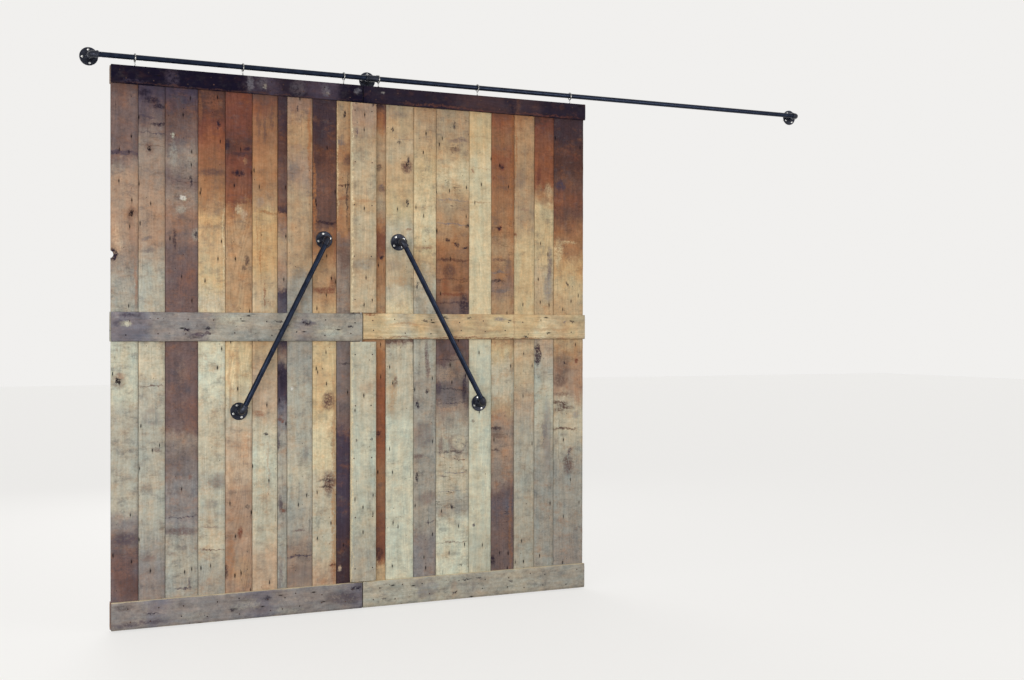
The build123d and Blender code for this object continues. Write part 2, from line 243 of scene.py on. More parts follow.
class Board(Finish):
    """The finish of one weathered board, with noises that follow its grain."""

    def __init__(self, name, upright):
        super().__init__(name)
        low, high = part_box(name)
        self.seed = sum(ord(letter) * (count + 3) for count, letter in enumerate(name)) % 97
        x, self.y, z = self.split(self.here())
        self.x, self.z = x - MEETING, z - DOOR_FOOT
        self.left_edge = -LEFT_DOOR_WIDTH if name.startswith("left") else 0.0
        ways = [(self.x, low.x - MEETING, high.x - MEETING), (self.z, low.z - DOOR_FOOT, high.z - DOOR_FOOT)]
        (self.along, self.start, end), (self.across, near, far) = reversed(ways) if upright else ways
        self.length, self.middle, self.half = end - self.start, (near + far) / 2, (far - near) / 2

    def mottle(self, scale, shift, detail, roughness, tall):
        """Three unlike noises of one grain size."""
        vector = self.join(self.x * scale + (self.seed + shift), self.y * scale, self.z * (scale * tall) + shift)
        return self.split(self.noise(vector, detail, roughness, output=1))

    def streaks(self, fine, coarse, shift=0.0, **settings):
        """Noise drawn out along the grain."""
        shifted = self.across * fine + (self.seed + shift)
        return self.noise(self.join(shifted, self.y * fine, self.along * coarse + self.seed * 3.7), **settings)

    def saw_lines(self, coarse, fine, shift, roughness):
        """Noise drawn out across the grain."""
        vector = self.join(self.across * coarse + self.seed, self.y, self.along * fine + shift)
        return self.noise(vector, 3.0, roughness)

    def banded(self, bands, sway, base):
        """The tones along the board, whose limits sway. Bands count from the base."""
        reach = (self.along + sway - self.start) * (1 / self.length)
        stops = [(min(max((at * MM - base) / self.length, 0), 1), tone(shade))
                 for *places, shade in bands for at in places]
        return self.add("ShaderNodeValToRGB", {"stops": stops}, {0: reach})

    def marked(self, colour, marks, spot, speck):
        """The colour with its marks, broken up by fine specks."""
        for at_x, at_z, half_x, half_z, shade, strength, edge in marks:
            offset = self.vector("SUBTRACT", spot, (self.left_edge + at_x * MM, 0.0, at_z * MM))
            offset = self.vector("MULTIPLY", offset, (1 / (half_x * MM), 0.0, 1 / (half_z * MM)))
            square = self.vector("DOT_PRODUCT", offset, offset, output=1)
            mask = self.smooth(square, (1 + edge) ** 2, (1 - edge) ** 2, strength)
            colour = self.mix(colour, tone(shade), mask * self.smooth(speck, 0.3, 0.58, 1.2))
        return colour

    def with_edge_highlight(self, colour, wood, bloom):
        """The colour with a painted highlight along its edges: pale on the sides, and in places on the arrises
        beside them, where the light catches them.
        """
        edge = abs(self.across - self.middle)
        rim = self.smooth(edge, self.half - 5 * MM, self.half - 1.5 * MM) * self.smooth(bloom, 0.45, 0.6, 0.5)
        side_highlight = self.smooth(edge, self.half - 1.4 * MM, self.half - 0.5 * MM, 0.85)
        return self.mix(colour, wood, rim.math("MAXIMUM", side_highlight))

    def nail_marks(self, ragged, holes):
        """Old nail holes as short dashes, and the dirt round the larger ones."""
        pits, dirt = [], []
        for wide, tall, size, shift, share in NAIL_MARKS:
            cell = self.join(self.across * (1 / wide) + (self.seed + shift), self.along * (1 / tall) + shift, 0.0)
            near = self.add("ShaderNodeTexVoronoi", {"voronoi_dimensions": "2D"}, {"Vector": cell, "Scale": 1.0})
            draw = self.split(Field(self, near.socket.node.outputs["Color"]))[0]
            chosen = draw.math("LESS_THAN", holes * share)
            uneven = near + (ragged - 0.5) * (size * 1.7)
            pits.append(self.smooth(uneven, size, size * 0.7) * chosen)
            dirt.append(self.smooth(uneven, size * 2.2, size * 0.9) * chosen)
        return pits[0].math("MAXIMUM", pits[1]).math("MAXIMUM", pits[2]), dirt[1].math("MAXIMUM", dirt[2])


# Boards. Their bands and marks are lists, with sizes in millimetres. A band is where it begins, where it ends
# if it is long, and its tone. On an upright board it is a height above the door's foot, and on a level board
# it counts from the board's left end. A mark is a place, x from the door's left edge and z from its foot,
# then its two half sizes, its tone and, unless they are 60, its strength and how soft its edge is, in percent.
# A knot has a radius and its height for its width, and a crack has a half length.
def stain(x, z, half_x, half_z, shade, strength=60, edge=60):
    return [(x, z, half_x, half_z, shade, strength / 100, edge / 100)]


def knot(x, z, radius, tall=1.25):
    rim = stain(x, z, radius * 1.9, radius * 1.9 * tall, "umber", 55)
    return rim + stain(x, z, radius, radius * tall, "pitch", 85, 35)


def crack(x, z, half, shade="pitch", strength=80):
    return stain(x, z, half, 2.2, shade, strength)


MARKS = {"knot": knot, "crack": crack}


def marks_of(text):
    marks = []
    for item in listed(text):
        marks += MARKS[item[0]](*item[1:]) if item[0] in MARKS else stain(*item)
    return marks


# The bands are the boards' own tones with painted shade in them: they grow darker towards the tops of the doors
# and towards the left.
UPRIGHTS = {
    "left_plank_01": dict(
        bands="""360 bark, 430 flint, 520 ash, 600 1050 drift, 1120 1400 oyster, 1600 1700 silver, 1800 taupe,
        1900 2220 rose, 2260 taupe, 2310 2540 mauve, 2650 umber""",
        marks="""55 270 40 70 rust 25, 100 200 50 40 walnut 50, 70 440 60 26 plum, 65 2322 70 11 plum 85,
        98 1930 11 110 clay 70, 116 1730 7 150 clay 75, 98 2270 24 44 clay, 55 2460 34 8 bark,
        knot 96 2029 9 1.6, knot 31 1210 15 1.1, 48 1240 16 14 rose, 25 1900 20 60 blush 50,
        4 1826 18 30 ink 90 30""",
        dirt=0.5),
    "left_plank_02": dict(
        bands="""0 taupe, 280 ash, 420 silver, 560 1180 drift, 1220 1400 linen, 1580 1720 drift, 1900 2110 rose,
        2230 2360 taupe, 2480 mauve, 2620 plum""",
        marks="""160 2625 30 18 ink 85 50, 195 2590 26 14 ink 85, 230 2560 24 10 ink 80, 225 2468 34 7 ink 85,
        170 2500 34 5 plum 70, crack 198 2424 60 plum, knot 186 2346 10 1.6, crack 194 2362 64 umber 60,
        crack 194 1182 64 umber, 170 1907 26 8 flint 70, 174 1842 30 8 flint 70, 190 1032 36 34 ash 50,
        190 1032 22 22 drift 70, 220 870 20 10 bark, 180 330 24 14 bark 50"""),
    "left_plank_03": dict(
        bands="""200 silver, 300 drift, 420 silver, 520 700 ash, 820 flint, 900 taupe, 960 mauve,
        1120 1720 bark, 1860 mauve, 2040 clay, 2110 taupe, 2200 mauve, 2300 taupe, 2400 mauve, 2520 umber,
        2620 plum""",
        marks="""346 2118 11 9 chalk 70, 354 2108 8 7 bone, 335 2060 22 14 silver 70, 295 2415 7 12 bone,
        295 2330 14 50 silver 45, 380 2300 24 34 silver 30, 390 2199 5 24 ink 85, 302 1910 5 40 ink 70,
        406 1935 14 26 silver, 406 1935 7 12 ink 80, 360 1700 40 60 rust 20, 390 1040 30 80 rust 35,
        340 1250 20 50 clay 25, 340 462 80 16 bark 75, crack 340 528 80 plum, 375 735 9 9 russet 50,
        340 178 40 4 plum 80, 375 200 5 26 plum""",
        dirt=0.55, warmth=0.3, saw=0.4),
    # Its thin cream line at the right edge, 550 from the door's left edge, is a painted highlight.
    "left_plank_04": dict(
        bands="""200 silver, 300 drift, 400 linen, 560 drift, 620 linen, 700 drift, 800 1050 linen,
        1150 1320 bone, 1500 cream, 1600 linen, 1700 wheat, 1880 sand, 2020 biscuit, 2080 straw, 2160 honey,
        2230 tobacco, 2400 rust, 2480 russet, 2560 walnut""",
        marks="""435 2150 26 90 honey 70, 485 2245 66 16 umber 75, 490 2600 24 34 rust 40,
        435 2560 10 60 amber 30, 519 2485 5 24 ink 85, 528 706 26 34 flint 40, 508 690 34 14 flint 35,
        480 590 30 20 flint 40, 488 362 60 3 umber 80, 480 470 40 4 bark, 550 1800 3 260 cream 80""",
        dirt=0.35, warmth=0.35),
    "left_plank_05": dict(
        bands="""0 clay, 200 620 rose, 700 900 blush, 1050 linen, 1200 cream, 1350 wheat, 1600 1980 straw,
        2060 honey, 2110 rust, 2200 chestnut, 2300 russet, 2400 walnut, 2480 russet""",
        marks="""624 2252 26 14 ink 85, 562 2390 14 24 ink 70, 640 2350 34 10 char 75, 670 2375 14 8 ink 70,
        660 2310 6 16 honey 50, 620 2104 50 7 russet, 630 2062 16 20 cream 50, 655 2035 14 20 blush 50,
        662 1816 8 20 char 70, 648 1780 10 12 char, 630 480 40 40 honey 30, 580 300 20 90 amber 45,
        640 240 40 60 straw 50, 560 250 9 34 ink 75, 630 432 10 22 russet 80, 670 570 10 8 ink,
        580 1190 7 140 straw 50, 620 1270 7 130 straw 45""",
        dirt=0.35, warmth=0.4, figure=0.07),
    "left_plank_06": dict(
        bands="""300 blush, 420 600 linen, 800 bone, 960 linen, 1060 1180 blush, 1400 sand, 1600 buff,
        1700 sand, 1800 2050 biscuit, 2090 straw, 2240 2330 honey, 2420 2520 tobacco, 2600 chestnut,
        2650 cocoa""",
        marks="""730 1030 24 12 rust, 780 2058 44 6 amber, 735 2110 16 24 taupe 50, 725 2500 7 70 umber,
        755 2470 6 60 umber, 790 2540 7 50 umber, 740 1850 3 120 amber, 755 1640 3 60 rust 70,
        720 1960 3 90 amber 50, 765 920 10 5 ink 85, 775 700 4 160 blush 70""",
        dirt=0.25, warmth=0.35),
    "left_plank_07": dict(
        bands="""0 ash, 200 300 silver, 400 drift, 480 600 silver, 700 drift, 820 900 silver, 980 ash,
        1060 slate, 1120 1270 plum, 1310 taupe, 1400 plum, 1560 lead, 1640 plum, 1670 taupe, 1760 rose,
        1920 oat, 1990 clay, 2040 tobacco, 2066 char, 2110 2300 umber, 2400 walnut, 2500 char""",
        marks="""850 1220 20 60 ink 70, 835 890 9 40 plum 70, 850 1003 16 10 russet 80, 840 560 10 40 plum 70,
        850 530 16 8 russet 70, 835 200 8 60 bark""",
        warmth=0.3, holes=0.3),
    "left_plank_08": dict(
        bands="""320 taupe, 420 silver, 600 drift, 720 linen, 850 1150 drift, 1300 1700 silver, 1780 2150 oat,
        2250 2320 rose, 2400 2520 straw, 2600 clay""",
        marks="""910 2276 28 34 flint, 930 2400 30 10 clay 50, 896 1162 7 7 chalk 90, 940 288 66 4 plum 80,
        980 820 14 30 flint 50, 935 2600 5 14 ink 70, 997 2430 8 160 amber 65, 996 1980 7 180 straw,
        935 430 26 6 bark 70, 940 200 60 40 mauve 40""",
        dirt=0.35, warmth=0.2),
    "left_plank_09": dict(
        bands="""0 rose, 200 blush, 300 700 linen, 800 950 cream, 1050 1500 wheat, 1620 1740 straw, 1850 honey,
        1960 tobacco, 2010 2240 umber, 2340 2420 walnut, 2500 char""",
        marks="""1130 620 11 560 straw 85, 1096 1092 28 40 umber 85, 1055 1210 28 34 sand 70,
        1100 660 26 50 umber 85, 1075 670 34 6 ink, 1080 640 34 5 ink, 1065 1665 60 14 russet 70,
        1120 1700 18 44 russet, 1080 2018 54 7 ink 75, 1018 2150 8 170 amber 80, 1080 2200 40 120 rust 20,
        1124 235 16 6 ink 80, 1125 190 16 60 rust 50, 1042 1180 60 3 straw 50, 1130 1900 8 90 rust""",
        dirt=0.3, warmth=0.35),
    # Its thin wheat line at 1144, along its left edge, is a painted highlight, and its ink line at 1204, beside
    # the cover strip, is a painted shadow.
    "left_plank_10": dict(
        bands="""300 char, 560 900 plum, 970 bark, 1080 1450 flint, 1600 1690 taupe, 1960 clay, 1990 honey,
        2250 straw, 2330 2420 honey, 2480 straw""",
        marks="""1157 2441 24 12 flint 85, 1200 2353 18 20 umber 80, 1180 2221 34 5 walnut 80,
        1180 2150 34 8 rust, 1180 1850 26 80 umber 70, 1185 1900 34 8 flint, 1184 2590 5 16 night 85,
        1204 2150 5 110 ink 70, 1162 215 8 16 blush 80, 1144 2320 4 270 wheat 80, 1190 1286 30 5 ink""",
        warmth=0.3),
    "right_plank_01": dict(
        bands="""220 sand, 270 420 chestnut, 640 720 tobacco, 840 1200 rust, 1340 honey, 1600 straw,
        1720 1840 honey, 1890 1960 chestnut, 2010 honey, 2080 2130 oat, 2200 2320 straw, 2400 oat, 2490 straw,
        2570 chestnut, 2620 cocoa""",
        marks="""100 2645 16 18 ink 85, 112 2215 14 18 bark 80, 100 2320 10 14 ink, 112 1847 10 9 ink 85,
        92 920 12 10 ink 80, 100 280 20 30 ink, 105 2560 20 60 amber, 95 1290 16 60 amber""",
        dirt=0.3, warmth=0.5, holes=0.4),
    "right_plank_02": dict(
        bands="""950 bone, 1060 1350 linen, 1385 taupe, 1400 umber, 1560 cream, 1660 linen, 1720 1800 buff,
        1950 linen, 2100 wheat, 2300 sand, 2420 buff, 2520 sand, 2650 oat""",
        marks="""258 2338 26 28 umber 85, 262 2365 6 22 ink 80, 178 1130 20 100 oat 80, 185 1190 12 26 umber,
        crack 245 2473 44 taupe, 215 1722 44 22 straw, 200 2610 46 16 taupe 50, 175 2530 5 12 ink 80,
        212 2460 8 6 ink 85, 258 2137 5 14 ink 85, 262 2000 12 8 rust, 180 1800 40 26 taupe 40""",
        dirt=0.2, warmth=0.15, pale=0.25),
    "right_plank_03": dict(
        bands="""300 ash, 420 1180 silver, 1300 1560 drift, 1720 linen, 1800 sand, 1900 wheat, 2000 cream,
        2350 wheat, 2450 sand, 2560 oat, 2650 straw""",
        marks="""372 1300 10 90 bark 75, 314 1066 8 15 ink 90, 372 1129 9 14 ink 85, 322 672 6 20 ink 90,
        320 780 26 12 bark 70, 390 428 20 4 plum 85, 372 560 50 26 bark 50, 350 1910 50 10 straw,
        372 1905 24 5 rust, 312 1700 5 16 ink 85, 340 900 50 60 bark 45""",
        warmth=0.2),
    "right_plank_04": dict(
        bands="""400 bone, 480 silver, 570 drift, 600 760 linen, 800 920 drift, 1030 taupe, 1060 1180 flint,
        1260 taupe, 1300 1400 bark, 1560 mauve, 1680 1840 tobacco, 1930 honey, 2030 straw, 2150 oat, 2190 sand,
        2300 cream, 2420 sand, 2520 oat""",
        marks="""560 2488 50 12 bark, 536 2436 24 12 umber 70, 530 2570 5 22 char 80, crack 520 2164 90 slate,
        crack 520 2040 92 slate, 606 2038 12 9 ink 90, 490 1944 12 10 ink 90, 545 1925 10 12 ink 90,
        592 1914 18 6 ink 90, 520 1840 90 7 walnut 70, 500 1780 34 30 char 55, 520 1740 90 4 ink 50,
        560 1690 34 16 walnut 50, 520 1655 90 6 russet 70, 520 1610 90 5 ink 50, 590 1600 24 50 ink 70,
        480 1700 20 40 rust, crack 520 1300 90 ink 60, 490 1215 40 26 rose 70, 570 1215 24 20 taupe 70,
        crack 510 1143 80 ink, 440 1150 14 30 plum 70, 598 1150 12 60 plum 80, 500 1030 46 10 rose 70,
        crack 520 1062 80 plum, 452 838 12 40 mauve, 556 842 50 46 mauve 75 30, 562 852 41 37 linen 85 30,
        500 800 60 6 char, crack 560 762 40 umber, crack 540 690 60 slate, 470 670 26 3 flint 70,
        crack 520 590 90 slate 60, 525 500 7 12 ink 85, crack 520 312 80 umber 70""",
        dirt=0.35, warmth=0.35, saw=0.7),
    "right_plank_05": dict(
        bands="""300 oyster, 420 1320 bone, 1450 2400 cream, 2480 wheat""",
        marks="""crack 688 2513 50 straw 60, crack 688 2352 50 straw 60, crack 688 2162 60 straw 70,
        640 960 8 8 umber, 645 390 8 6 plum 85, 645 2330 4 12 rust""",
        dirt=0.12, warmth=0.08, pale=0.15, saw=0.2, holes=0.3, figure=0.03),
    "right_plank_06": dict(
        bands="""400 mauve, 500 lead, 580 mauve, 640 720 taupe, 800 rose, 900 taupe, 960 rose, 1020 oat,
        1120 1250 linen, 1340 wheat, 1400 1600 straw, 1700 clay, 1780 honey, 1900 straw, 1980 2100 honey,
        2260 tobacco, 2400 rust, 2500 tobacco, 2620 rust, 2650 chestnut""",
        marks="""813 2363 17 16 russet 90 35, 809 2024 16 13 russet 90 35, 813 2361 9 8 ink 90,
        809 2024 9 8 ink 90, 800 1850 40 8 umber 70, 790 1780 40 8 flint 80, 790 1730 40 7 ink 70,
        810 1680 40 8 flint 70, 882 2350 9 330 amber, 878 1300 8 120 straw 50, 785 918 34 8 char 80,
        790 880 34 12 umber, 780 800 26 4 char 70, 875 350 8 200 amber 40, 765 190 14 22 ink 80,
        800 520 40 50 bark 50, 770 2300 5 10 russet 80, 860 1800 14 60 bark 50""",
        warmth=0.4, saw=0.5),
    "right_plank_07": dict(
        bands="""900 drift, 1050 blush, 1200 1350 buff, 1560 1900 wheat, 2020 sand, 2080 2200 oat,
        2300 2560 straw, 2650 honey""",
        marks="""930 2300 30 40 mauve 40, 955 2132 26 8 clay, 901 2400 6 200 amber 55, 903 1900 5 200 straw 50,
        935 1400 44 12 clay 50, 900 1997 7 7 rust 80""",
        dirt=0.25),
    "right_plank_08": dict(
        bands="""700 silver, 860 drift, 1100 oyster, 1250 drift, 1400 blush, 1560 sand, 1780 buff,
        1880 2140 wheat, 2190 straw, 2240 honey, 2290 2430 rust, 2520 chestnut, 2600 russet, 2650 walnut""",
        marks="""1041 1329 20 56 char 90 30, 1112 1860 14 60 flint 70, 1118 1780 14 30 bark 70,
        1110 1700 20 60 ash, 1050 2320 10 46 russet 85, 1110 2240 22 34 sand 70, 1090 905 12 40 flint 70,
        1105 870 22 160 ash""",
        dirt=0.35, warmth=0.35),
    "right_plank_09": dict(
        bands="""0 ash, 400 700 silver, 770 drift, 900 1020 linen, 1120 1240 rose, 1340 straw, 1400 1600 sand,
        1720 wheat, 1820 biscuit, 1900 1960 honey, 2020 tobacco, 2100 cocoa, 2220 chestnut, 2290 cocoa,
        2380 2470 walnut, 2540 char""",
        marks="""1185 2270 24 22 plum 80, 1230 1960 50 8 wheat, 1165 1900 26 60 wheat 70,
        1200 2470 40 20 rust 25, 1270 2440 30 20 russet 30, 1190 1270 44 60 umber 50, 1180 1180 44 26 umber 65,
        1190 1100 44 10 umber, 1180 1048 40 10 walnut 85, 1215 1030 44 8 walnut 80, 1175 1010 24 10 walnut 70,
        1215 905 66 6 walnut 85, 1240 700 26 50 umber 80, 1250 780 10 20 plum 80, 1291 1288 10 10 russet 90,
        1213 1283 6 6 ink 90, 1285 985 16 20 ash, 1230 1720 5 12 ink 80""",
        dirt=0.35, warmth=0.35),
    # The thin cream lines at the cover strips' left edge, about 1220 from the door's left edge, are painted
    # highlights, as is their cream edge highlight.
    "left_cover_upper": dict(
        bands="""1700 buff, 1800 oat, 1900 2050 buff, 2100 sand, 2180 2350 buff, 2480 oat, 2560 rose""",
        marks="""1240 2645 5 6 ink 85, 1340 2645 6 6 ink 85, 1245 2495 4 20 bark 80, 1290 2142 70 5 straw 70,
        1221 2100 4 560 cream 85, 1290 1810 50 20 silver 50""",
        dirt=0.25, warmth=0.12, holes=0.45, edge_highlight="cream"),
    "left_cover_lower": dict(
        bands="""300 drift, 480 700 oyster, 800 bone, 950 oyster, 1200 linen, 1403 oyster""",
        marks="""1325 580 14 22 silver 70, 1325 580 8 15 oyster 80, 1245 884 5 5 ink 85, 1330 884 5 5 ink 85,
        1220 770 3 640 cream 80, 1300 1160 40 20 blush 40""",
        dirt=0.2, warmth=0.1, holes=0.45, edge_highlight="cream"),
}
# The near-black, bluish bands of the top rails are partly their own dark tone and partly painted shade.
LEVELS = {
    "left_top_rail": dict(
        bands="""640 night, 690 ink, 780 plum, 850 930 ink, 1030 1100 plum, 1170 ink, 1230 night""",
        marks="""675 2705 16 40 slate 55, 740 2712 26 26 lead 50, 755 2690 9 9 silver 70,
        930 2700 34 34 lead 40, 1080 2700 20 26 slate 50, 1084 2690 8 8 silver, 290 2700 30 34 plum,
        100 2668 60 6 plum 40, 1250 2712 14 14 slate 50, 580 2660 560 3 walnut 50""",
        dirt=0.1, warmth=0.05, pale=0.1, holes=0.2),
    "left_middle_rail": dict(
        bands="""140 slate, 220 460 ash, 510 900 silver, 960 ash, 1060 silver""",
        marks="""976 1497 34 13 lead 80, 974 1497 16 8 ink 85, 63 1495 26 12 oyster 85, 35 1500 24 14 plum,
        365 1462 12 6 ink 90, 464 1464 14 6 ink 90, 420 1440 60 9 plum 75, 390 1424 30 6 ink,
        827 1504 22 4 ink 85, 1210 1481 14 4 ink 90, 90 1537 50 7 plum 70, 100 1440 60 20 lead 50,
        880 1486 10 4 ink 85, 1220 1545 20 4 ink 70, 580 1510 60 20 oyster 40, 1100 1450 60 24 oyster 40""",
        dirt=0.35, warmth=0.05, pale=0.4, saw=0.2),
    "left_bottom_rail": dict(
        bands="""150 ash, 210 slate, 290 600 ash, 690 780 slate, 850 1180 ash, 1250 slate, 1283 lead""",
        marks="""190 75 26 5 ink 80, 590 54 18 5 ink 95, 770 90 20 10 ink 70, 1240 108 24 8 ink 85,
        660 70 60 24 silver 50, 50 110 40 12 ink 50, 130 30 120 10 plum, 880 20 60 12 silver,
        1180 60 80 30 plum, 400 40 60 20 silver 40""",
        dirt=0.35, warmth=0, pale=0.4, saw=0.2, edge_highlight="cream"),
    "right_top_rail": dict(
        bands="""0 night, 60 500 ink, 600 800 char, 870 ink, 940 char, 1080 ink""",
        marks="""400 2668 150 5 rust 30, 905 2700 10 50 walnut 80, 620 2664 160 4 russet 40,
        110 2712 7 7 ash 85, 1080 2664 180 5 russet 40, 330 2690 6 6 pitch 80""",
        dirt=0.15, warmth=0.12, pale=0.03, holes=0.3),
    "right_middle_rail": dict(
        bands="""100 wheat, 160 cream, 230 linen, 300 wheat, 390 460 buff, 540 sand, 620 wheat, 680 sand,
        740 1000 wheat, 1060 cream, 1180 sand, 1260 wheat, 1330 buff""",
        marks="""55 1540 40 8 rust 70 40, 345 1512 14 4 ink 85, 480 1524 8 4 ink 80, 610 1527 12 4 ink 80,
        800 1520 30 8 slate 70, 858 1518 12 4 ink 80, 955 1425 14 4 ink 85, 1248 1504 14 4 ink 85,
        1205 1508 10 4 lead 80, 885 1480 4 60 straw 70, 660 1416 620 3 rust 70, 250 1490 90 5 straw,
        700 1460 110 5 straw 55, 1080 1470 120 6 straw 50, 160 1455 60 6 cream""",
        dirt=0.1, warmth=0.14, pale=0.3, saw=0.1, holes=0.1, figure=0.07),
    "right_bottom_rail": dict(
        bands="""300 drift, 380 silver, 430 540 drift, 620 silver, 900 drift, 1100 silver""",
        marks="""320 105 26 16 lead 45, 400 80 30 26 slate 50, 402 82 15 14 drift, 390 45 26 5 flint 50,
        340 60 20 26 slate 50, 520 60 16 44 rose 50, 600 102 30 3 ink 80, 675 104 18 3 ink 85,
        120 40 12 4 ink 80, 640 56 9 20 flint 50, 525 35 10 4 ink 85, 860 70 8 6 ink 80""",
        dirt=0.45, warmth=0.05, pale=0.3, saw=0.2, edge_highlight="cream"),
}
BATTENS = {
    "left_top_batten": dict(bands="0 taupe, 600 silver, 1200 clay"),
    "left_middle_batten": dict(bands="0 silver, 600 taupe, 1200 silver"),
    "left_bottom_batten": dict(bands="0 clay, 600 taupe, 1200 silver"),
    "right_top_batten": dict(bands="0 silver, 600 clay, 1200 taupe"),
    "right_middle_batten": dict(bands="0 taupe, 600 silver, 1200 clay"),
    "right_bottom_batten": dict(bands="0 silver, 600 silver, 1200 taupe"),
}


def board(name, upright, bands, marks="", dirt=0.4, warmth=0.25, pale=0.2, saw=0.3, holes=0.5, figure=0.04,
          edge_highlight=None):
    """The finish of one weathered board. The settings say how much of each kind of wear it has, and the tone of
    its painted edge highlight.
    """
    finish = Board(name, upright)
    wave, drift, swell = finish.mottle(*WAVES)
    grime, glow, bloom = finish.mottle(*PATCHES)
    speck, ragged, fleck = finish.mottle(*SPECKS)

    # Tones along the board, with painted shade in them, then dirt, warmth and bleaching in patches, then the
    # marks, a few of which are painted highlights and painted shadow
    sway = (drift - 0.5) * 0.26 + (ragged - 0.5) * 0.09
    colour = finish.banded(listed(bands), sway, finish.start if upright else 0.0)
    colour = finish.mix(colour, tone("lead"), finish.smooth(grime, 0.5, 0.68, dirt * 0.8))
    colour = finish.mix(colour, tone("amber"), finish.smooth(glow, 0.5, 0.7, warmth * 0.8))
    colour = finish.mix(colour, tone("linen"), finish.smooth(bloom, 0.54, 0.7, pale * 0.3))
    spot_x = finish.x + (wave - 0.5) * 0.06 + (fleck - 0.5) * 0.03
    spot_z = finish.z + (swell - 0.5) * 0.06 + (ragged - 0.5) * 0.03
    colour = finish.marked(colour, marks_of(marks), finish.join(spot_x, 0.0, spot_z), speck)

    # Grain, year rings and saw marks make it lighter and darker, and broad streaks warmer and cooler
    fibre = finish.streaks(330.0, 7.0, detail=4.0, roughness=0.68)
    flame = (finish.streaks(7.0, 0.9, 5.0, detail=1.0) * RINGS_PER_NOISE).math("SINE")
    broad = finish.streaks(38.0, 2.2, 17.0, detail=4.0, roughness=0.62)
    kerf = finish.saw_lines(5.0, 190.0, 0.0, 0.6)
    level = 1.0 + (fibre - 0.5) * 0.16 + flame * figure + (broad - 0.5) * 0.58 + (speck - 0.5) * (0.45 + dirt)
    level = level + (grime - 0.5) * -0.8 + (bloom - 0.5) * (0.35 + pale)
    level = level + (kerf - 0.5) * finish.smooth(swell, 0.45, 0.62, saw * 0.9)
    colour = finish.scale(colour, level)
    tint = finish.streaks(21.0, 3.2, 51.0, detail=4.0, roughness=0.66) + glow - 1.0
    colour = finish.vector("MULTIPLY", colour, finish.join(tint * 0.4 + 1.0, 1.0, tint * -0.32 + 1.0))

    # Drying checks along the grain, lines left by the saw, and nail marks
    check = finish.streaks(46.0, 2.2, 23.0, detail=3.0)
    check = finish.smooth(abs(check - 0.5), 0.012, 0.003) * finish.smooth(broad, 0.56, 0.66, 0.6)
    line = finish.saw_lines(3.0, 26.0, finish.seed, 0.55)
    line = finish.smooth(abs(line - 0.5), 0.007, 0.001) * finish.smooth(wave, 0.5, 0.62, saw * 1.6)
    colour = finish.mix(colour, tone("pitch"), check.math("MAXIMUM", line) * 0.75)
    pit, ring = finish.nail_marks(ragged, holes)
    colour = finish.scale(colour, 1.0 - ring * 0.36)
    colour = finish.mix(colour, tone("pitch"), pit * 0.9)
    # A pale painted highlight along the edges, where the light catches them
    if edge_highlight:
        colour = finish.with_edge_highlight(colour, tone(edge_highlight), bloom)

    relief = fibre * 0.18 + speck * 0.6 + flame * (figure * 1.2) + kerf * (saw * 0.15)
    relief = relief - check * 1.3 - line - pit * 2.4
    return finish.wear(
        Base_Color=colour,
        Roughness=0.62 + grime * 0.3,
        Specular_IOR_Level=0.05,
        Normal=finish.bump(relief, 1.1 * MM, 0.7),
    )


def iron(name, dark, light, bare_and_glint, rough, gloss, oil, sand_depth):
    """Black iron with a bluish sheen, worn to grey metal in spots that also stand as painted highlights. Castings
    have a sandier skin than drawn pipe.
    """
    finish = Finish(name)
    cloud = finish.grains(24.0, 4.0, 0.6)
    sand = finish.grains(650.0, 3.0, 0.6)
    colour = finish.mix(dark, light, finish.smooth(cloud, 0.35, 0.72))
    # Grey spots of metal rubbed through, which also serve as painted highlights
    worn = finish.smooth(sand * 0.6 + cloud * 0.6, 0.72, 0.86, bare_and_glint)
    return finish.wear(
        Base_Color=finish.mix(colour, (0.2, 0.205, 0.215, 1), worn),
        Metallic=0.6,
        Roughness=rough + cloud * 0.2,
        Specular_IOR_Level=gloss,
        Coat_Weight=oil,
        Coat_Roughness=0.25,
        Normal=finish.bump(sand, sand_depth, 0.5),
    )


def zinc(name, dull, bright):
    """Plated steel, dulled in patches."""
    finish = Finish(name)
    cloud = finish.grains(220.0, 4.0, 0.65)
    shades = [(value, value, value * 0.98, 1) for value in (dull, bright)]
    colour = finish.mix(*shades, finish.smooth(cloud, 0.35, 0.68))
    return finish.wear(Base_Color=colour, Metallic=1.0, Roughness=0.2 + cloud * 0.2)


def rusty():
    """Nail heads gone brown."""
    finish = Finish("nail_iron")
    cloud = finish.grains(90.0, 4.0, 0.7)
    colour = finish.mix(tone("pitch"), tone("cocoa"), finish.smooth(cloud, 0.4, 0.7))
    return finish.wear(Base_Color=colour, Metallic=0.3, Roughness=0.5 + cloud * 0.3, Specular_IOR_Level=0.2)


def coat(piece, material):
    """Give a piece one material."""
    piece.data.materials.clear()
    piece.data.materials.append(material)


def alone():
    """Deselect everything, so that an operator acts on the new piece alone."""
    bpy.ops.object.select_all(action="DESELECT")


def take(*pieces):
    """Select these pieces alone, the first of them active."""
    alone()
    for piece in pieces:
        piece.select_set(True)
    bpy.context.view_layer.objects.active = pieces[0]


def settle(name):
    """Name a fresh primitive, put its place into its mesh, and open it for editing."""
    piece = bpy.context.object
    piece.name = name
    bpy.ops.object.transform_apply(location=True, rotation=True, scale=True)
    bpy.ops.object.mode_set(mode="EDIT")
    return piece


def everything():
    """Select the whole of the open piece."""
    bpy.ops.mesh.select_all(action="SELECT")


